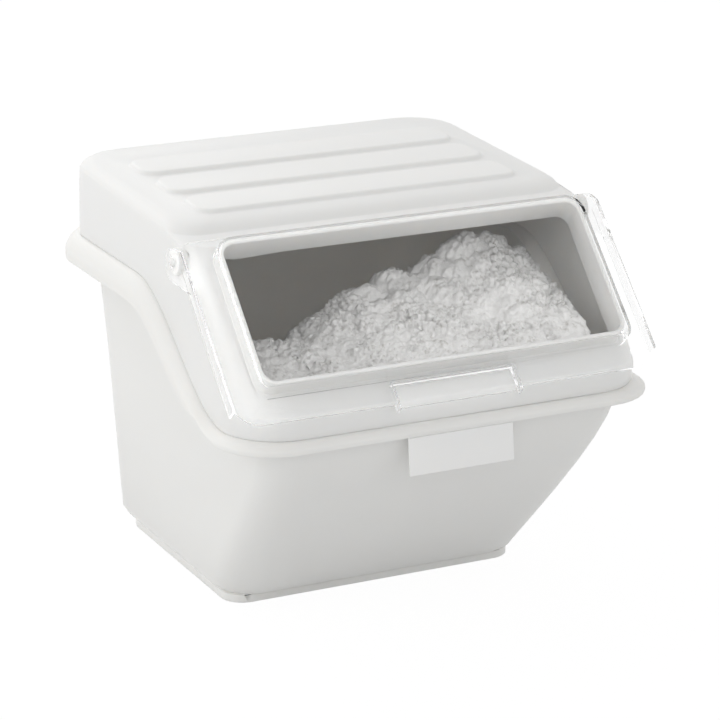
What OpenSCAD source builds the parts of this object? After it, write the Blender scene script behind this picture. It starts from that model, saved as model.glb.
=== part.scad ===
// Rice bin with a lift-off hood and a clear flip lid.
// Millimetres, +Z up, front toward -Y, origin on the floor under the middle of the bin.

/* [Tub] */
// Half width of the foot the tub stands on
foot_half = 161.5; // [135:0.5:194]
// Depth of the foot, front to back
foot_depth = 271; // [226:1:326]
// Height of the foot band
foot_h = 9; // [5:0.5:14]
// Thickness of the tub wall
tub_wall = 4; // [2.5:0.5:6]
// Half width of the rolled rim
rim_half = 230; // [192:0.5:276]
// Back of the rim, counted from the front of the foot
rim_back = 306; // [255:1:368]
// Height of the rim along the front
rim_low = 229; // [191:1:275]
// How much higher the rim is along the back
rim_rise = 101; // [84:1:122]
// Depth of the rim skirt at the sides and back
skirt_depth = 27; // [16:1:34]
// Depth of the rim skirt at the front
skirt_front = 11; // [8:1:16]

/* [Hood] */
// Thickness of the hood wall
hood_wall = 4; // [2.5:0.5:6]
// Height of the roof's front edge above the top of the window
roof_up = 8.6; // [7:0.2:12]
// Rise of the roof per millimetre toward the back
roof_slope = 0.04; // [0.02:0.002:0.08]
// Height of the raised strips on the roof
strip_h = 4; // [1:0.5:6]
// Distance from the hood's side to the window
win_side = 28.5; // [26:0.5:60]
// Window height measured along the slope
win_len = 146.4; // [122:0.2:176]
// Width of the collar edge around the window
collar_w = 4; // [2.5:0.5:5]
// How far the frame of the window reaches in from its edge
frame_in = 28; // [22:1:32]

/* [Flip lid] */
// Thickness of the clear sheet
lid_t = 2.4; // [1.6:0.2:4]
// Gap between the hood's bosses and the lid's ears
ear_gap = 1.6; // [0.8:0.2:3]
// Radius of the moulded hinge stud
stud_r = 5; // [3:0.5:8]
// Gap between stud and lid ear
stud_gap = 0.05; // [0.02:0.01:0.1]
// Half width of the finger pull
pull_half = 66; // [40:1:90]

/* [Label and contents] */
// Half width of the bare label plate
plate_half = 56; // [40:1:70]
// Height of the flour's peak above the front rim
heap_up = 121; // [90:1:124]

/* [Hidden] */
$fn = 64;

// Front of the rim, counted back from the front of the foot as all drawing depths are
rim_front = -184;
// Front of the label plate
label_y = rim_front - 4;
// Shift from drawing depths to the centred frame
yc = (rim_back + label_y) / 2;
rim_high = rim_low + rim_rise;
// Width of the rim, from its outer edge to the mouth
rim_w = 33;
mouth_half = rim_half - rim_w;
// The hood stands on the rim, drawn in from its outer edge
hood_half = rim_half - 10.5;
hood_front = rim_front + 10 - yc;
hood_back = rim_back - 16;

// Rim path in side view: low in front, high behind, one smooth rise between
rise_a = -118 - yc;
rise_b = 92 - yc;
rise_n = 16;
function ease(t) = t * t * (3 - 2 * t);
function clamp(t) = min(1, max(0, t));
function rim_z(y) = rim_low + (rim_high - rim_low) * ease(clamp((y - rise_a) / (rise_b - rise_a)));
rise_y = [for (i = [0 : rise_n]) rise_a + (rise_b - rise_a) * i / rise_n];

// Stations round a rounded rectangle, from front right to front left
arc_n = 8;
side_n = rise_n + 3;
rim_box = [rim_half, rim_front - yc, rim_back - yc, 62, 58];
side_step = (rim_box[2] - rim_box[4] - 16 - rise_b) / 2;
function side_y(i) = i <= rise_n ? rise_y[i] : rise_y[rise_n] + (i - rise_n) * side_step;
function side_t(i) = (side_y(i) - rim_box[1] - rim_box[3])
    / (rim_box[2] - rim_box[4] - rim_box[1] - rim_box[3]);
half_n = 2 * (arc_n + 1) + side_n;
// Point k on the right half of an outline b = [half width, front, back, front radius, back radius]
function half_pt(b, k, keep) =
    k <= arc_n ? [b[0] - b[3] + b[3] * sin(90 * k / arc_n), b[1] + b[3] - b[3] * cos(90 * k / arc_n)]
    : k <= arc_n + side_n ? [b[0], keep ? side_y(k - arc_n - 1)
        : (b[1] + b[3]) + side_t(k - arc_n - 1) * (b[2] - b[4] - b[1] - b[3])]
    : [b[0] - b[4] + b[4] * cos(90 * (k - arc_n - side_n - 1) / arc_n),
       b[2] - b[4] + b[4] * sin(90 * (k - arc_n - side_n - 1) / arc_n)];
function loop_pt(b, k, keep) = k < half_n ? half_pt(b, k, keep)
    : let (p = half_pt(b, 2 * half_n - 1 - k, keep)) [-p[0], p[1]];
loop_n = 2 * half_n;

// Heights above the foot stretch with the front rim
function drawn(z) = z <= 24 ? z : 24 + (z - 24) * 205 / (rim_low - 24);
// Tub wall outline at height z, drawn in by an inset: it spreads above the foot, then leans out to the mouth
function wall_box(z, inset) = let (h = drawn(z), lean = clamp((h - 24) / 307),
    spread = foot_half + lookup(h, [[0, -3.5], [9, -1.5], [14, 5.5], [24, 12.5]]),
    heel = foot_depth + lookup(h, [[0, -3], [9, 3], [14, 11], [24, 16]])) [
    spread + (mouth_half + tub_wall - foot_half - 12.5)
        * lookup(h, [[24, 0], [158, 0.407], [210, 0.574], [331, 1]]) - inset,
    lookup(h, [[0, 3], [9, -3], [14, -12], [24, -23], [90, -84], [158, -143.5], [205, -173], [216, -178],
        [331, -180]]) - yc + inset,
    heel + (hood_back - foot_depth - 16) * lean - yc - inset,
    lookup(h, [[0, 24], [9, 34], [24, 54], [55, 51.5], [90, 49], [158, 46], [185, 42], [216, 39.5]]) - inset,
    lookup(h, [[0, 24], [9, 26], [24, 38], [216, 50]]) - inset];
// Rim outline: q = 0 at the outer edge, 1 at the mouth
function rim_at(q) = [rim_half - rim_w * q, rim_box[1] + 16 * q, rim_box[2] - 22 * q,
    rim_box[3] - 14 * q, rim_box[4] - 14 * q];
function skirt(y) = skirt_front + (skirt_depth - skirt_front) * ease(clamp((y + 80 + yc) / 50));

// Rows of the tub skin, each a loop of points
function flat_row(b, z) = [for (k = [0 : loop_n - 1]) let (p = loop_pt(b, k, false)) [p[0], p[1], z]];
function rim_row(q, drop) = [for (k = [0 : loop_n - 1]) let (p = loop_pt(rim_at(q), k, true))
    [p[0], p[1], rim_z(p[1]) - drop]];
// A rim row hung below the path by a share of the skirt depth plus a fixed drop
function skirt_row(q, share, drop) = [for (k = [0 : loop_n - 1]) let (p = loop_pt(rim_at(q), k, true))
    [p[0], p[1], rim_z(p[1]) - share * skirt(p[1]) - drop]];
// A wall row at a share f of the way from z0 up to a drop below the rim
function wall_row(z0, f, drop, inset) = [for (k = [0 : loop_n - 1])
    let (top = rim_z(loop_pt(rim_box, k, true)[1]) - drop, z = z0 + (top - z0) * f,
         p = loop_pt(wall_box(z, inset), k, false)) [p[0], p[1], z]];

foot_box = [foot_half, -yc, foot_depth - yc, 24, 24];
tub_rows = concat(
    [flat_row(foot_box, 0), flat_row(foot_box, foot_h - 1)],
    [flat_row(wall_box(9, 0.5), foot_h), flat_row(wall_box(14, 0), foot_h + 5)],
    [flat_row(wall_box(19, 0), foot_h + 10), flat_row(wall_box(24, 0), 24)],
    [for (f = [0.2, 0.4, 0.6, 0.75, 0.88, 1]) wall_row(24, f, 9, 0)],
    [skirt_row(0.3, 0, 5.5), skirt_row(0.2, 0.15, 5), skirt_row(0.15, 0.3, 4.5)],
    [skirt_row(0.15, 1, 0), skirt_row(0.01, 1, 0)],
    [for (e = [[0, 0.65], [0.02, 0.53], [0.06, 0.4], [0.12, 0.28], [0.18, 0.18], [0.24, 0.1], [0.3, 0.04],
        [0.36, 0]]) skirt_row(e[0], e[1], 0)],
    [rim_row(1, 0), rim_row(1, 5)],
    [for (f = [1, 0.88, 0.75, 0.6, 0.4, 0.2, 0]) wall_row(24, f, 14, tub_wall)],
    [flat_row(wall_box(13, tub_wall + 1), 13), flat_row(wall_box(9, tub_wall + 3), 9)],
    [flat_row(wall_box(9, tub_wall + 7), 5)]);
tub_row_n = len(tub_rows);
function flat_list(rows) = [for (r = rows) for (p = r) p];
function skin_faces(m, n) = concat(
    [[for (k = [0 : n - 1]) k]],
    [for (j = [0 : m - 2]) for (k = [0 : n - 1]) for (tri = [0, 1])
        let (a = j * n + k, b = j * n + (k + 1) % n, c = a + n, d = b + n)
        tri == 0 ? [a, c, b] : [b, c, d]],
    [[for (k = [n - 1 : -1 : 0]) (m - 1) * n + k]]);

// Slope frame: window centre, turned so local y runs up the slope and local z points out
slope = 45.74;
win_half = hood_half - win_side;
// Half length of the collar around the window
collar_end = win_len / 2 + collar_w;
low_y = -160.09 - yc;
low_z = rim_low + 57.08;
win_y = low_y + win_len / 2 * cos(slope);
win_z = low_z + win_len / 2 * sin(slope);
top_y = low_y + win_len * cos(slope);
top_z = low_z + win_len * sin(slope);
// Depth of the hood face behind the collar edge
face_in = 15.7;
// Lean of the lower wall of the lid's raised panel, so it swings clear of the collar
lid_draft = 15.3;
// Hinge line of the lid, and the bosses that carry it
hinge_y = top_y + 36.41;
hinge_z = top_z - 20.43;
boss_x = hood_half - 6.2;
boss_h = 9.2;
lid_half = boss_x + boss_h + ear_gap + lid_t;
// Centre and radius of the round end of the lid's ears
ear_y = hinge_y - 1;
ear_z = hinge_z - 3.5;
ear_r = 16.5;

module on_slope() {
    translate([0, win_y, win_z])
        rotate([slope, 0, 0])
            children();
}

module round_plate(half, y0, y1, r0, r1) {
    translate([-half + r1, y0 + r0])
        square([2 * (half - r1), y1 - y0 - r0 - r1]);
    translate([-half, y0 + r0])
        square([2 * half, y1 - y0 - r0 - r1]);
    translate([-half + r0, y0])
        square([2 * (half - r0), r0 + 0.01]);
    translate([-half + r1, y1 - r1 - 0.01])
        square([2 * (half - r1), r1 + 0.01]);
    for (s = [-1, 1]) {
        translate([s * (half - r0), y0 + r0])
            circle(r0);
        translate([s * (half - r1), y1 - r1])
            circle(r1);
    }
}

// Height of the roof plane at depth y
function roof_at(y) = top_z + roof_up + roof_slope * (y - top_y - 75);

// Front depth of the sloping hood face at height z
function face_y(z) = win_y + (face_in * sin(slope)) + (z - win_z + face_in * cos(slope)) / tan(slope);

// Hood rows [side draw-in, front, back draw-in, front radius, back radius, height, 1 on the roof]
hood_plan = [
    [0, hood_front, 0, 60, 50, rim_low - 19, 0],
    [0.5, hood_front, 0, 60, 50, rim_low + 14, 0],
    [0.8, hood_front + 2.2, 0, 58, 50, rim_low + 23, 0],
    [1.2, face_y(rim_low + 33), 0, 54, 50, rim_low + 33, 0],
    [3.5, face_y(top_z - 13), 0, 30, 50, top_z - 13, 0], [3.7, face_y(top_z - 5), 0, 28, 50, top_z - 5, 0],
    [4.5, top_y + 50, 1, 30, 49, -9.6, 1], [7, top_y + 56, 4, 30, 48, -5.2, 1],
    [11.5, top_y + 64, 8.5, 30, 46, -2, 1], [18.5, top_y + 75, 15, 30, 44, 0, 1]];
// Point k of 36 on an outline b = [half width, front, back, front radius, back radius]
function corner_pt(b, k) = let (c = floor(k / 9), a = -90 + 90 * c + 90 * (k % 9) / 8,
    r = c == 0 || c == 3 ? b[3] : b[4], x = (b[0] - r) * (c < 2 ? 1 : -1),
    y = c == 0 || c == 3 ? b[1] + r : b[2] - r) [x + r * cos(a), y + r * sin(a)];
function hood_row(b, inset, low) = let (w = inset * (b[6] == 1 ? 0.6 : 1),
    face = b[6] == 0 && b[0] > 1 ? 1.4 : 1,
    q = [hood_half - b[0] - inset, b[1] + inset * face, hood_back - yc - b[2] - inset, b[3] - w, b[4] - w])
    [for (k = [0 : 35]) let (p = corner_pt(q, k))
        [p[0], p[1], (b[6] == 1 ? roof_at(p[1]) - inset : 0) + b[5] - low]];

module hood_form(inset) {
    rows = [for (i = [0 : len(hood_plan) - 1])
        hood_row(hood_plan[i], inset, i == 0 ? inset / 4 : i == 5 ? inset * 0.8 : 0)];
    polyhedron(flat_list(rows), skin_faces(len(rows), 36), 4);
}

// Everything under the rim path, used to cut the hood's lower edge
module below_rim(far) {
    pts = concat([[-400, 100], [-400, rim_low]],
        [for (i = [0 : rise_n]) [rise_y[i], rim_z(rise_y[i]) + (i > 0 && i < rise_n ? 0.3 : 0)]],
        [[400, rim_high], [400, 100]]);
    rotate([90, 0, 90])
        translate([0, 0, -far])
            linear_extrude(2 * far)
                polygon(pts);
}

// Raised strips of the roof: pads with a cove and a rounded edge, as [inset, share of the height]
strip_half = hood_half - 43.5;
strip_edge = [[-4, -0.15], [-2, 0.05], [-0.8, 0.2], [0, 0.5], [0.8, 0.78], [2.2, 0.95], [4.5, 1]];
function strip_row(y, e) = [for (k = [0 : 35])
    let (p = corner_pt([strip_half - e[0], y - 27 + e[0], y + 27 - e[0], 17 - e[0], 17 - e[0]], k))
    [p[0], p[1], roof_at(p[1]) + strip_h * e[1]]];
module roof_strips() {
    for (i = [0 : 2])
        polyhedron(flat_list([for (e = strip_edge) strip_row(top_y + 110 + 71 * i, e)]),
            skin_faces(len(strip_edge), 36), 4);
}

module tub() {
    color("WhiteSmoke")
        polyhedron(flat_list(tub_rows), skin_faces(tub_row_n, loop_n), 4);
}

module hood() {
    color("White")
        difference() {
            union() {
                difference() {
                    hood_form(0);
                    hood_form(hood_wall);
                }
                on_slope()
                    translate([0, 0, -frame_in])
                        linear_extrude(frame_in)
                            round_plate(win_half + collar_w, -collar_end, collar_end, 16, 16);
                roof_strips();
                for (s = [-1, 1])
                    translate([s * boss_x, hinge_y, hinge_z])
                        rotate([0, s * 90, 0]) {
                            cylinder(h = boss_h, r = 13);
                            cylinder(h = lid_half - boss_x, r = stud_r);
                        }
            }
            on_slope()
                translate([0, 0, -60])
                    linear_extrude(80)
                        round_plate(win_half, -win_len / 2, win_len / 2, 12, 12);
            below_rim(300);
        }
}

// Block under or over the raised panel; grow = 0 for the hollow, lid_t for the outside
module lid_block(grow, z0, z1) {
    half = win_half + collar_w + 1 + grow;
    edge = collar_end + 1;
    intersection() {
        translate([0, 0, z0])
            linear_extrude(z1 - z0)
                round_plate(half, -edge - 7 - grow, edge + grow, 17 + grow, 17 + grow);
        translate([-300, -edge - grow * 1.04, 0.6])
            rotate([-lid_draft, 0, 0])
                translate([0, 0, -60])
                    cube([600, 300, 120]);
    }
}

module lid_sheet() {
    difference() {
        union() {
            translate([0, 0, -face_in + 0.6])
                linear_extrude(lid_t)
                    round_plate(lid_half, -win_len / 2 - 36.6, win_len / 2 + 14.5, 27, 12);
            lid_block(lid_t, -face_in + 0.6, 0.6 + lid_t);
        }
        lid_block(0, -face_in - 2, 0.6);
    }
}

module lid_sides() {
    for (s = [-1, 1])
        translate([s * (lid_half - lid_t / 2), 0, 0])
            translate([-lid_t / 2, -win_len / 2 - 18.8, -27])
                cube([lid_t, win_len + 21.6, 27 - face_in + 0.6 + lid_t]);
}

module lid_ears() {
    for (s = [-1, 1])
        translate([s > 0 ? lid_half - lid_t : -lid_half, 0, 0])
            rotate([90, 0, 90])
                linear_extrude(lid_t) {
                    translate([ear_y, ear_z])
                        circle(ear_r);
                    polygon([[ear_y, ear_z - ear_r], [ear_y, ear_z + ear_r],
                        [hinge_y - 14.5, hinge_z + 15], [hinge_y - 22.5, hinge_z + 15],
                        [hinge_y - 62.5, hinge_z - 26], [hinge_y - 48.5, hinge_z - 20]]);
                }
}

module lid_pull() {
    translate([0, -win_len / 2 - 43.8, -face_in + 0.6])
        difference() {
            translate([-pull_half, 0, 0])
                cube([2 * pull_half, 29, 9]);
            translate([-pull_half + lid_t, -3, -1])
                cube([2 * (pull_half - lid_t), 32 - lid_t, 10 - lid_t]);
        }
}

module flip_lid() {
    color("LightCyan", 0.4)
        difference() {
            union() {
                on_slope() {
                    lid_sheet();
                    lid_sides();
                    lid_pull();
                }
                lid_ears();
            }
            on_slope()
                translate([-pull_half + lid_t, -win_len / 2 - 38.8, -face_in])
                    cube([2 * (pull_half - lid_t), 24 - lid_t, lid_t + 1]);
            translate([-300, hinge_y, hinge_z])
                rotate([0, 90, 0])
                    cylinder(h = 600, r = stud_r + stud_gap);
        }
}

// Label plate: it hangs from the underside of the rim
plate_top = rim_low - skirt_front;
module label_plate() {
    color("Snow")
        rotate([90, 0, 90])
            translate([0, 0, -plate_half])
                linear_extrude(2 * plate_half)
                    polygon([[rim_front - yc, plate_top], [rim_front + 2 - yc, plate_top],
                        [rim_front - 1.5 - yc, plate_top - 37], [label_y - yc, plate_top - 37]]);
}

// Flour: a crest line across the width, which falls to the front and the back
heap_gap = 1.5;
crest_y = 19 - yc;
crest_base = rim_low + 39;
peak = [mouth_half - 72, crest_y];
function crest_z(x) = crest_base + (heap_up - 39) * lookup(190 * x / (mouth_half - 7),
    [[-190, -0.04], [-84, -0.02], [-66, 0.06], [-48, 0.28], [-32, 0.4], [-8, 0.5], [12, 0.68], [40, 0.66],
        [52, 0.62], [68, 0.71], [80, 0.82], [96, 0.94], [114, 0.98], [131, 1], [152, 0.88], [171, 0.7],
        [190, 0.44]]);
function heap_z(p) = let (c = crest_z(p[0]), f = crest_base - 26 + 21 * (1 + p[0] / mouth_half),
    t = clamp((p[1] - crest_y + 150) / 150))
    min(p[1] < crest_y ? f + (c - f) * pow(t, 1.5) : max(c - 0.7 * (p[1] - crest_y), rim_low - 70),
        rim_low - 15 + 1.6 * (p[1] + 168 + yc));
// Where the flour meets the wall, and where it stands clear of the rim above that
function shore_z(k) = heap_z(loop_pt(wall_box(rim_low, tub_wall + heap_gap), k, false));
function wall_z(k) = min(shore_z(k), rim_z(loop_pt(rim_box, k, true)[1]) - 16);
function heap_wall_row(f) = [for (k = [0 : loop_n - 1]) let (z = 24 + (wall_z(k) - 24) * f,
    p = loop_pt(wall_box(z, tub_wall + heap_gap), k, false)) [p[0], p[1], z]];
function shore_pt(k) = let (z = shore_z(k))
    loop_pt(wall_box(z, tub_wall + heap_gap + 0.5 + 0.25 * (z - wall_z(k))), k, false);
function heap_ring(s) = [for (k = [0 : loop_n - 1]) let (p = shore_pt(k), q = p + (peak - p) * s)
    [q[0], q[1], s == 0 ? shore_z(k) + 0.3 : heap_z(q)]];
heap_rows = concat(
    [flat_row(wall_box(9, tub_wall + heap_gap + 7), 5.3)],
    [flat_row(wall_box(9, tub_wall + heap_gap + 3), 9.3)],
    [flat_row(wall_box(13, tub_wall + heap_gap + 1), 13.3)],
    [for (f = [0, 0.2, 0.4, 0.6, 0.8, 1]) heap_wall_row(f)],
    [for (s = [0, 0.05, 0.12, 0.2, 0.28, 0.36, 0.44, 0.52, 0.6, 0.68, 0.76, 0.84, 0.91, 0.96])
        heap_ring(s)]);

module flour_heap() {
    color("Ivory")
        polyhedron(flat_list(heap_rows), skin_faces(len(heap_rows), loop_n), 4);
}

tub();
hood();
flip_lid();
label_plate();
flour_heap();
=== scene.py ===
# %% [markdown]
# # A slant-front food bin
# The bin is a few large mouldings: a white tub with a rolled rim, a white hood with a framed
# window, a clear lid that flips up on two studs, a bare label place, and a heap of flour inside.
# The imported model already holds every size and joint. This lesson loads it as a frame, gives each
# moulding the soft edges that real plastic has, pours rough flour over the heap, and then mixes
# one material for each finish. Everything is in metres, in the frame's own axes.

# %% Load the frame
import math

import bmesh
import bpy
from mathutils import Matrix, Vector, noise


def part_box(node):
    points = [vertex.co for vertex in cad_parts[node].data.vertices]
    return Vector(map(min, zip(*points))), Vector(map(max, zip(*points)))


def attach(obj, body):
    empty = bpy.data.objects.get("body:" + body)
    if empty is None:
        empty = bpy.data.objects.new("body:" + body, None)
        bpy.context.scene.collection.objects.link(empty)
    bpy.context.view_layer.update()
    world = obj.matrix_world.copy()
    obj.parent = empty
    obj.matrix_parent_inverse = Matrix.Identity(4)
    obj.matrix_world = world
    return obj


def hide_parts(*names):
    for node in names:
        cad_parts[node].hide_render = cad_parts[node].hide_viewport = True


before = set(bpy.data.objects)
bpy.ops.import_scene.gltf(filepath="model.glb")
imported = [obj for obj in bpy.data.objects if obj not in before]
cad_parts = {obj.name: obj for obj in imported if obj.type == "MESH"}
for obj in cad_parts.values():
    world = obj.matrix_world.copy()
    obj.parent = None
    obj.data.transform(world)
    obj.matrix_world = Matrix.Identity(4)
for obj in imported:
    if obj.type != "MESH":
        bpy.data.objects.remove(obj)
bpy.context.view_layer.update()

bpy.ops.object.select_all(action="DESELECT")
mm = 0.001
print("nodes:", sorted(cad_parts))


# %% [markdown]
# A moulding never has a knife edge: the mould's corners are cut with a small radius, and that
# radius is what catches the light. One way is to model every fillet by hand. Here the shape is
# already right, so each moulding starts as a merged copy of its node, and the bevel operator
# rounds only the edges that are sharper than a chosen angle. The copy stands in for its node.

# %% Copy a node into a clean mesh
weld_gap = 0.02 * mm
flat_within = 0.4


def clean_copy(node, name):
    """A new piece with the node's shape: welded, and with its flat regions made whole faces."""
    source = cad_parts[node]
    piece = bpy.data.objects.new(name, source.data.copy())
    bpy.context.scene.collection.objects.link(piece)
    piece.data.name = name
    piece.data.materials.clear()
    bpy.ops.object.select_all(action="DESELECT")
    piece.select_set(True)
    bpy.context.view_layer.objects.active = piece
    bpy.ops.object.mode_set(mode="EDIT")
    bpy.ops.mesh.select_all(action="SELECT")
    bpy.ops.mesh.remove_doubles(threshold=weld_gap)
    bpy.ops.mesh.dissolve_limited(angle_limit=math.radians(flat_within))
    bpy.ops.object.mode_set(mode="OBJECT")
    print(name, "copied,", len(piece.data.polygons), "faces")
    return piece


# %% Round its sharp edges
round_steps = 3
smooth_below = 40


def soften(piece, radius, sharper_than):
    """Rounds the edges that are sharper than an angle, then shades the rest smooth."""
    bevel = piece.modifiers.new("edge radius", "BEVEL")
    bevel.width = radius
    bevel.segments = round_steps
    bevel.limit_method = "ANGLE"
    bevel.angle_limit = math.radians(sharper_than)
    bevel.miter_outer = "MITER_ARC"
    bevel.use_clamp_overlap = False
    bpy.context.view_layer.objects.active = piece
    bpy.ops.object.modifier_apply(modifier=bevel.name)
    bpy.ops.object.select_all(action="DESELECT")
    piece.select_set(True)
    bpy.ops.object.shade_smooth_by_angle(angle=math.radians(smooth_below))
    print(piece.name, "softened,", len(piece.data.polygons), "faces")


# %% [markdown]
# The tub is one moulding: foot, walls and a rim that rolls over and hangs down as a skirt. The
# rim climbs in one smooth rise from the low front to the tall back.

# %% Tub
tub = clean_copy("tub", "tub_shell")
soften(tub, radius=0.7 * mm, sharper_than=32)
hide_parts("tub")
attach(tub, "tub_body")

# %% [markdown]
# The hood carries most of the light in its soft edges: the roof's shoulders, the raised strips
# and the collar round the window.

# %% Hood
hood = clean_copy("hood", "hood_shell")
soften(hood, radius=1.1 * mm, sharper_than=26)
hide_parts("hood")
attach(hood, "hood_body")

# %% [markdown]
# The lid is a clear moulding. Its wall has to keep both of its faces, because light bends on the
# way in and again on the way out, so it stays a closed thin solid with rounded edges.

# %% Lid
lid = clean_copy("flip_lid", "clear_lid")
soften(lid, radius=0.55 * mm, sharper_than=30)
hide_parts("flip_lid")
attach(lid, "lid_body")

# %% [markdown]
# The label place is a small bare plate that lies against the tub's front, under the rim. It is
# made like the other mouldings, so that its edge shows as a thin line of light.

# %% Label place
label = clean_copy("label_plate", "label_place")
soften(label, radius=0.8 * mm, sharper_than=30)
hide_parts("label_plate")
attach(label, "tub_body")


# %% [markdown]
# Flour is a powder that clumps. A heap of it has several scales: the slope it slid to, ridges and
# knobs from the size of a walnut down to a hazelnut, and crumbs. Sculpting them by hand would
# take hours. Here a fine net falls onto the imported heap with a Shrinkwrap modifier, and a stack
# of Displace modifiers pushes it out and in, each with a procedural texture of its own grain
# size. The net is finest in front, where the crumbs can be seen through the window.

# %% The heap under the crust
heap_low, heap_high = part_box("flour_heap")
flour = clean_copy("flour_heap", "flour")
heap = flour.copy()
heap.data = flour.data.copy()
bpy.context.scene.collection.objects.link(heap)
sunk, drawn_in, deep = 10 * mm, (0.965, 0.96), 130 * mm
for vertex in flour.data.vertices:
    if vertex.co.z > deep:
        vertex.co.x *= drawn_in[0]
        vertex.co.y *= drawn_in[1]
        vertex.co.z -= sunk
print("heap under the crust:", len(flour.data.polygons), "faces")

# %% Lay a fine net on it
columns, rows = 325, 265
near_rows, near_depth = 0.8, 0.56
above = heap_high.z + 20 * mm
relax_rounds = 10


def lay_net(target):
    """A grid over the heap's box, dropped straight down onto the target."""
    bpy.ops.mesh.primitive_grid_add(x_subdivisions=columns, y_subdivisions=rows, size=1)
    net = bpy.context.object
    span = heap_high - heap_low
    for vertex in net.data.vertices:
        across, back = vertex.co.x + 0.5, vertex.co.y + 0.5
        if back < near_rows:
            depth = back / near_rows * near_depth
        else:
            depth = near_depth + (back - near_rows) / (1 - near_rows) * (1 - near_depth)
        vertex.co = (heap_low.x + across * span.x, heap_low.y + depth * span.y, above)
    fall = net.modifiers.new("fall", "SHRINKWRAP")
    fall.target = target
    fall.wrap_method = "PROJECT"
    fall.use_project_z = True
    fall.use_negative_direction = True
    fall.use_positive_direction = False
    bpy.ops.object.modifier_apply(modifier=fall.name)
    shape = bmesh.new()
    shape.from_mesh(net.data)
    missed = [vertex for vertex in shape.verts if vertex.co.z > above - mm]
    bmesh.ops.delete(shape, geom=missed, context="VERTS")
    shape.to_mesh(net.data)
    shape.free()
    relax = net.modifiers.new("relax", "SMOOTH")
    relax.iterations = relax_rounds
    bpy.ops.object.modifier_apply(modifier=relax.name)
    print("net on the heap:", len(net.data.polygons), "faces,", len(missed), "points missed it")
    return net


crust = lay_net(heap)
bpy.data.objects.remove(heap)

# %% [markdown]
# Only the free surface is rough: where flour lies against the tub it takes the wall's shape. A
# vertex group holds how free each point is, and the modifiers read it as their strength. A
# second group keeps crumbs and cracks off a few patches, where the flour slid down smooth.

# %% Which points are free
wall_margin = 14 * mm
front_margin = 8 * mm
patch_size = 34 * mm
patch_shift = Vector((5.3, 1.1, 8.2))
crumbs_least, crumbs_usual, patch_swing = 0.08, 0.62, 2.4
slide_from, slide_length, slide_loss = 60 * mm, 170 * mm, 0.4


def free_share(place):
    """1 on the open surface of the heap, 0 against a wall, with a soft edge between."""
    side = min(place.x - heap_low.x, heap_high.x - place.x) / wall_margin
    front = (place.y - heap_low.y) / front_margin
    return max(0.0, min(1.0, side, front))


def crumb_share(place):
    """Where crumbs gather: on the crest and the left, less on the slope that slid to the right."""
    patch = noise.noise(place / patch_size + patch_shift)
    slid = max(0.0, (place.x - slide_from) / slide_length)
    return max(crumbs_least, min(1.0, crumbs_usual + patch_swing * patch - slide_loss * slid))


free = crust.vertex_groups.new(name="free")
crumbly = crust.vertex_groups.new(name="crumbly")
wholly_free = 0
for vertex in crust.data.vertices:
    share = free_share(vertex.co)
    wholly_free += share == 1.0
    free.add([vertex.index], share, "REPLACE")
    crumbly.add([vertex.index], share * crumb_share(vertex.co), "REPLACE")
print("wholly free:", wholly_free, "of", len(crust.data.vertices), "points")


# %% Push the net out and in, one texture after another
def push(piece, name, kind, size, reach, group, middle=0.5, **settings):
    """Displaces by a texture of a grain size, as far as reach, where the group says. The tone
    in the middle stays put. The modifier is applied at once."""
    texture = bpy.data.textures.new(name, kind)
    texture.noise_scale = size
    for key, value in settings.items():
        setattr(texture, key, value)
    layer = piece.modifiers.new(name, "DISPLACE")
    layer.texture = texture
    layer.texture_coords = "LOCAL"
    layer.vertex_group = group
    layer.strength = reach
    layer.mid_level = middle
    bpy.context.view_layer.objects.active = piece
    bpy.ops.object.modifier_apply(modifier=layer.name)


cells = {"distance_metric": "DISTANCE_SQUARED"}
one_layer = {"noise_depth": 1}
cracked = {"noise_depth": 2, "noise_type": "HARD_NOISE"}
push(crust, "ridges", "CLOUDS", 40 * mm, 13 * mm, "free", 0.45, **one_layer)
push(crust, "knobs", "VORONOI", 19 * mm, -8 * mm, "free", 0.6, **cells)
push(crust, "lumps", "CLOUDS", 9 * mm, 6 * mm, "free", noise_depth=2)
push(crust, "crumbs", "VORONOI", 6.5 * mm, -8 * mm, "crumbly", 0.4, **cells)
push(crust, "small crumbs", "VORONOI", 3.8 * mm, -5 * mm, "crumbly", 0.4, **cells)
push(crust, "cracks", "CLOUDS", 7 * mm, -5 * mm, "crumbly", 0.3, **cracked)
push(crust, "grains", "CLOUDS", 2.8 * mm, 2 * mm, "free", **one_layer)
print("crust roughened,", len(crust.data.vertices), "points")

# %% Close the crust and join it to the heap
root_z, root_share = 120 * mm, (0.85, 0.7)
bpy.ops.object.select_all(action="DESELECT")
crust.select_set(True)
bpy.context.view_layer.objects.active = crust
for vertex in crust.data.vertices:
    vertex.co.x = max(heap_low.x, min(heap_high.x, vertex.co.x))
    vertex.co.y = max(heap_low.y, min(heap_high.y, vertex.co.y))
shape = bmesh.new()
shape.from_mesh(crust.data)
border = [edge for edge in shape.edges if edge.is_boundary]
skirt = bmesh.ops.extrude_edge_only(shape, edges=border)["geom"]
for vertex in skirt:
    if isinstance(vertex, bmesh.types.BMVert):
        vertex.co = (vertex.co.x * root_share[0], vertex.co.y * root_share[1], root_z)
bmesh.ops.holes_fill(shape, edges=[edge for edge in shape.edges if edge.is_boundary])
bmesh.ops.recalc_face_normals(shape, faces=shape.faces)
shape.to_mesh(crust.data)
shape.free()
flour.select_set(True)
bpy.context.view_layer.objects.active = flour
bpy.ops.object.join()
bpy.ops.object.shade_smooth()
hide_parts("flour_heap")
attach(flour, "tub_body")
print("flour:", len(flour.data.polygons), "faces")


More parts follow.
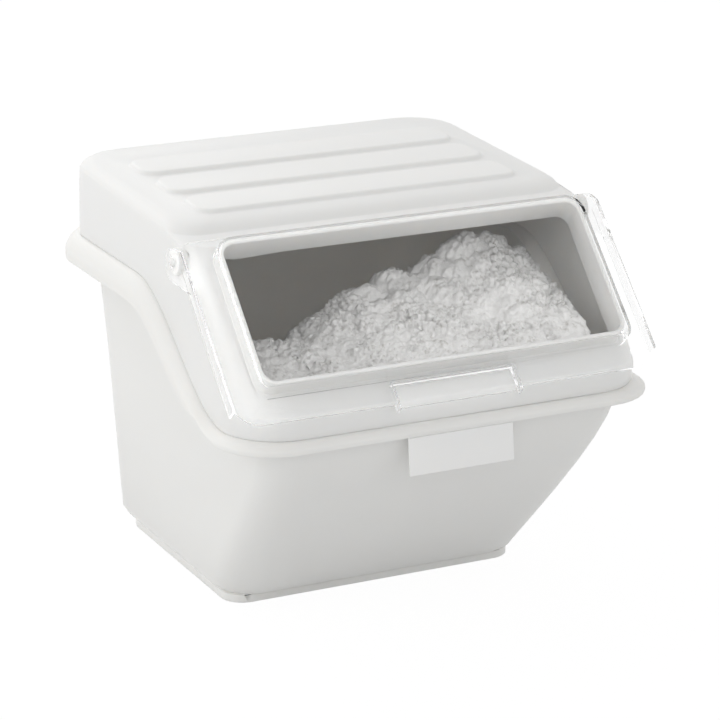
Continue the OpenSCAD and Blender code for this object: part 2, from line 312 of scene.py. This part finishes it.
# %% [markdown]
# White food-grade plastic is slightly cloudy: light goes a little way in, so its shade is soft.
# Its skin is satin with a very fine grain left by the mould, and it never is one exact tone. All
# three white mouldings share that skin, so it is a node group, built once, and each material
# gives it colours and a grain of its own.

# %% Add a node
def add_node(tree, kind, values=None, **settings):
    """A new node, with its sockets' values and its own settings given by name."""
    node = tree.nodes.new("ShaderNode" + kind)
    for key, value in settings.items():
        setattr(node, key, value)
    for socket, value in (values or {}).items():
        node.inputs[socket].default_value = value
    return node


def opaque(colour):
    """A colour of three numbers, with a fourth that says it hides what is behind."""
    return (*colour, 1)


# A Mix node has a set of sockets for each kind of data. These are its colour sockets.
first_colour, second_colour, mixed_colour = 6, 7, 2

# %% A group for the mould's grain
broad_tone = {"Scale": 7, "Detail": 3}
fine_grain = {"Scale": 900, "Detail": 2}
satin = {"From Min": 0.3, "From Max": 0.7, "To Min": 0.36, "To Max": 0.48}
grain_depth = 0.1 * mm


def mould_skin():
    """Takes two tones and a grain, and gives a colour, a roughness and a normal."""
    group = bpy.data.node_groups.new("mould skin", "ShaderNodeTree")
    for name, way, kind in (
        ("Color", "INPUT", "Color"),
        ("Shade", "INPUT", "Color"),
        ("Grain", "INPUT", "Float"),
        ("Color", "OUTPUT", "Color"),
        ("Roughness", "OUTPUT", "Float"),
        ("Normal", "OUTPUT", "Vector"),
    ):
        group.interface.new_socket(name, in_out=way, socket_type="NodeSocket" + kind)
    link = group.links.new
    into = group.nodes.new("NodeGroupInput")
    out = group.nodes.new("NodeGroupOutput")
    place = add_node(group, "TexCoord")
    broad = add_node(group, "TexNoise", broad_tone)
    fine = add_node(group, "TexNoise", fine_grain)
    for texture in (broad, fine):
        link(place.outputs["Object"], texture.inputs["Vector"])
    tone = add_node(group, "Mix", data_type="RGBA")
    link(broad.outputs["Fac"], tone.inputs["Factor"])
    link(into.outputs["Shade"], tone.inputs[first_colour])
    link(into.outputs["Color"], tone.inputs[second_colour])
    gloss = add_node(group, "MapRange", satin)
    link(broad.outputs["Fac"], gloss.inputs["Value"])
    bump = add_node(group, "Bump", {"Distance": grain_depth})
    link(into.outputs["Grain"], bump.inputs["Strength"])
    link(fine.outputs["Fac"], bump.inputs["Height"])
    link(tone.outputs[mixed_colour], out.inputs["Color"])
    link(gloss.outputs["Result"], out.inputs["Roughness"])
    link(bump.outputs["Normal"], out.inputs["Normal"])
    print("mould skin:", len(group.nodes), "nodes")
    return group


skin = mould_skin()


# %% White plastics
cloudy = {
    "IOR": 1.5,
    "Subsurface Weight": 0.35,
    "Subsurface Radius": (0.012, 0.011, 0.010),
    "Subsurface Scale": 0.5,
}


def white_plastic(name, color, shade, grain):
    """A cloudy white: color and shade are its two tones, grain is how deep its skin is."""
    material = bpy.data.materials.new(name)
    material.use_nodes = True
    tree = material.node_tree
    shader = tree.nodes["Principled BSDF"]
    group = add_node(tree, "Group", node_tree=skin)
    group.inputs["Color"].default_value = opaque(color)
    group.inputs["Shade"].default_value = opaque(shade)
    group.inputs["Grain"].default_value = grain
    tree.links.new(group.outputs["Color"], shader.inputs["Base Color"])
    for socket in ("Roughness", "Normal"):
        tree.links.new(group.outputs[socket], shader.inputs[socket])
    for socket, value in cloudy.items():
        shader.inputs[socket].default_value = value
    return material


def paint(piece, material):
    """Gives the piece one material."""
    piece.data.materials.clear()
    piece.data.materials.append(material)
    print(piece.name, "is painted with", material.name)


paint(tub, white_plastic("tub white", (0.86, 0.855, 0.835), (0.83, 0.825, 0.80), 0.12))
paint(hood, white_plastic("hood white", (0.86, 0.858, 0.845), (0.83, 0.827, 0.81), 0.12))
paint(label, white_plastic("label white", (0.92, 0.917, 0.905), (0.9, 0.896, 0.88), 0.2))

# %% [markdown]
# Thin clear plastic looks almost empty face on and shows itself at its edges. Polycarbonate bends
# light at an index near 1.58. This wall is thicker than such a lid's usually is, and at that
# index its edges would look heavy, so a lower one stands in for it and keeps them quiet.

# %% Clear plastic
clear_finish = {
    "Base Color": opaque((0.996, 0.997, 0.997)),
    "Roughness": 0.02,
    "IOR": 1.3,
    "Transmission Weight": 1.0,
}
clear = bpy.data.materials.new("clear plastic")
clear.use_nodes = True
glass = clear.node_tree.nodes["Principled BSDF"]
for socket, value in clear_finish.items():
    glass.inputs[socket].default_value = value
paint(lid, clear)

# %% [markdown]
# A renderer that samples lamps would give a clear sheet a full black shadow. A real one takes
# only about a tenth of the light, so here the lid casts none. The light paths are long, so that
# light can leave its thin edges.

# %% Light through the lid
longest_path, longest_glossy = 64, 32
lid.visible_shadow = False
cycles = bpy.context.scene.cycles
cycles.max_bounces = longest_path
cycles.transmission_bounces = longest_path
cycles.glossy_bounces = longest_glossy
print("light bounces up to", longest_path, "times in the lid")

# %% [markdown]
# Flour is matt and reflects some nine tenths of the light. Between its crumbs are small pits too
# fine to model. Here they are soft spots of a noise texture, gathered in patches by a broader one,
# and both the crumbs and the pits feed one bump. Pits and hollows are painted slightly darker:
# painted shade.

# %% Textures of the flour
powder = bpy.data.materials.new("flour")
powder.use_nodes = True
tree = powder.node_tree
shader = tree.nodes["Principled BSDF"]
place = add_node(tree, "TexCoord")
crumbs = add_node(tree, "TexNoise", {"Scale": 300, "Detail": 8, "Roughness": 0.65})
patches = add_node(tree, "TexNoise", {"Scale": 34, "Detail": 3})
pits = add_node(tree, "TexNoise", {"Scale": 210, "Detail": 2})
for name, texture in (("crumbs", crumbs), ("patches", patches), ("pits", pits)):
    tree.links.new(place.outputs["Object"], texture.inputs["Vector"])
    print(name, "texture:", texture.inputs["Scale"].default_value, "to the metre")


# %% Turn the textures into pits
def spread(name, source, low, high, start, end):
    """A Map Range that turns one band of a texture into a share between start and end."""
    values = {"From Min": low, "From Max": high, "To Min": start, "To Max": end}
    band = add_node(tree, "MapRange", values, label=name)
    tree.links.new(source, band.inputs["Value"])
    return band.outputs["Result"]


pit_spots = spread("pit spots", pits.outputs["Fac"], 0.3, 0.46, 1.0, 0.0)
pit_patches = spread("pit patches", patches.outputs["Fac"], 0.42, 0.56, 0.0, 1.0)
# This mask sets both the pits' bump and the painted shade in them.
pit = add_node(tree, "Math", operation="MULTIPLY")
tree.links.new(pit_spots, pit.inputs[0])
tree.links.new(pit_patches, pit.inputs[1])
print("pits:", pit_spots.node.label, "times", pit_patches.node.label)

# %% Colour and bump of the flour
powder_look = {"Roughness": 0.95, "Specular IOR Level": 0.15}
bump_look = {"Strength": 0.8, "Distance": 1.8 * mm}
# The crumbs' hollows are painted a little darker than their tops: painted shade.
hollow_painted_shade, on_a_crumb = (0.91, 0.902, 0.888), (0.965, 0.96, 0.95)
# The pits are painted darker still: painted shade.
pit_painted_shade, pit_depth = (0.68, 0.665, 0.64), 0.3
# The ramp follows the crumbs' bump, so it paints shade into their hollows.
ramp = add_node(tree, "ValToRGB")
for stop, position, colour in zip(
    ramp.color_ramp.elements, (0.3, 0.6), (hollow_painted_shade, on_a_crumb)
):
    stop.position = position
    stop.color = opaque(colour)
tree.links.new(crumbs.outputs["Fac"], ramp.inputs["Fac"])
# The pits' painted shade is mixed over the crumbs' colour.
tone = add_node(tree, "Mix", data_type="RGBA")
tone.inputs[second_colour].default_value = opaque(pit_painted_shade)
tree.links.new(pit.outputs["Value"], tone.inputs["Factor"])
tree.links.new(ramp.outputs["Color"], tone.inputs[first_colour])
tree.links.new(tone.outputs[mixed_colour], shader.inputs["Base Color"])
height = add_node(tree, "Math", {1: -pit_depth}, operation="MULTIPLY_ADD")
tree.links.new(pit.outputs["Value"], height.inputs[0])
tree.links.new(crumbs.outputs["Fac"], height.inputs[2])
bump = add_node(tree, "Bump", bump_look)
tree.links.new(height.outputs["Value"], bump.inputs["Height"])
tree.links.new(bump.outputs["Normal"], shader.inputs["Normal"])
for socket, value in powder_look.items():
    shader.inputs[socket].default_value = value
paint(flour, powder)

# %% [markdown]
# The bin stands on a plain floor in an even white studio. The floor and the world look pure
# white to the camera, to reflections and through the lid, but they light the bin at a plain
# level, so the white plastic keeps its shading.

# %% What looks straight at the studio
studio_white = 1.03
plain_light = 0.66


def seen_directly(tree):
    """1 for light that goes to the camera, off a glossy skin or through the lid, else 0."""
    path = add_node(tree, "LightPath")
    seen = add_node(tree, "Math", operation="MAXIMUM")
    seen_too = add_node(tree, "Math", operation="MAXIMUM")
    tree.links.new(path.outputs["Is Camera Ray"], seen.inputs[0])
    tree.links.new(path.outputs["Is Glossy Ray"], seen.inputs[1])
    tree.links.new(seen.outputs["Value"], seen_too.inputs[0])
    tree.links.new(path.outputs["Is Transmission Ray"], seen_too.inputs[1])
    return seen_too.outputs["Value"]


# %% Floor
floor_size = 12
floor_finish = {"Base Color": opaque((0.82, 0.82, 0.82)), "Roughness": 0.9}
glow_share = 0.93
bpy.ops.object.select_all(action="DESELECT")
bpy.ops.mesh.primitive_plane_add(size=floor_size, location=(0, 0, 0))
floor = bpy.context.object
floor.name = "floor"


def white_ground():
    """A pale matt floor that glows white where it is looked at, and still takes a shadow."""
    material = bpy.data.materials.new("white ground")
    material.use_nodes = True
    tree = material.node_tree
    nodes, link = tree.nodes, tree.links.new
    shader = nodes["Principled BSDF"]
    for socket, value in floor_finish.items():
        shader.inputs[socket].default_value = value
    glow = add_node(tree, "Emission", {"Strength": studio_white})
    share = add_node(tree, "Math", {1: glow_share}, operation="MULTIPLY")
    mix = add_node(tree, "MixShader")
    link(seen_directly(tree), share.inputs[0])
    link(share.outputs["Value"], mix.inputs["Fac"])
    link(shader.outputs["BSDF"], mix.inputs[1])
    link(glow.outputs["Emission"], mix.inputs[2])
    link(mix.outputs["Shader"], nodes["Material Output"].inputs["Surface"])
    return material


paint(floor, white_ground())

# %% World
world = bpy.data.worlds.new("studio")
bpy.context.scene.world = world
world.use_nodes = True
nodes, link = world.node_tree.nodes, world.node_tree.links.new
backdrop = nodes["Background"]
backdrop.inputs["Color"].default_value = opaque((1, 1, 1))
backdrop.inputs["Strength"].default_value = studio_white
fill_look = {"Color": opaque((1, 1, 1)), "Strength": plain_light}
fill = add_node(world.node_tree, "Background", fill_look)
blend = add_node(world.node_tree, "MixShader")
link(seen_directly(world.node_tree), blend.inputs["Fac"])
link(fill.outputs["Background"], blend.inputs[1])
link(backdrop.outputs["Background"], blend.inputs[2])
link(blend.outputs["Shader"], nodes["World Output"].inputs["Surface"])
print("studio: looks", studio_white, "and lights at", plain_light)


# %% [markdown]
# Large lamps give the soft shade of a bright room. Two strong ones stand at the left and high
# up behind, and two weak ones in front keep the front from going grey.

# %% Lamps
def soft_box(name, place, target, size, power):
    """A square lamp that faces a target point."""
    lamp = bpy.data.objects.new(name, bpy.data.lights.new(name, "AREA"))
    lamp.data.shape = "SQUARE"
    lamp.data.size = size
    lamp.data.energy = power
    lamp.location = place
    lamp.rotation_euler = (Vector(target) - Vector(place)).to_track_quat("-Z", "Y").to_euler()
    bpy.context.scene.collection.objects.link(lamp)
    print(name, "lamp:", size, "m across,", power, "W")


middle = (0, 0, 0.2)
soft_box("key from the left", (-3.0, 0.6, 1.2), middle, size=3.0, power=27)
soft_box("front, low", (1.3, -3.1, 0.9), middle, size=2.6, power=7)
soft_box("front, high", (-1.6, -2.7, 1.5), middle, size=1.2, power=6.5)
soft_box("top, behind", (-0.2, 2.4, 2.4), middle, size=3.2, power=26)

# %% [markdown]
# A long lens from a few metres away keeps the bin's upright edges almost parallel. The lens is
# given in pixels of a square frame, and Blender's own unit follows from its sensor's width.

# %% Camera
camera_place = (-1.2761, -2.6402, 1.1468)
camera_turn = 26
camera_drop = 17.56
frame_pixels = 720
focal_pixels = 3024
sensor_width = 36
camera = bpy.data.objects.new("camera", bpy.data.cameras.new("camera"))
bpy.context.scene.collection.objects.link(camera)
camera.data.sensor_width = sensor_width
camera.data.lens = sensor_width * focal_pixels / frame_pixels
camera.location = camera_place
camera.rotation_euler = (math.radians(90 - camera_drop), 0, math.radians(-camera_turn))
bpy.context.scene.camera = camera
bpy.context.scene.view_settings.view_transform = "Standard"
print("camera: a lens of", round(camera.data.lens, 1), "mm")

# %% [markdown]
# Last, the view layer is updated.

# %% Update, and the end
bpy.context.view_layer.update()
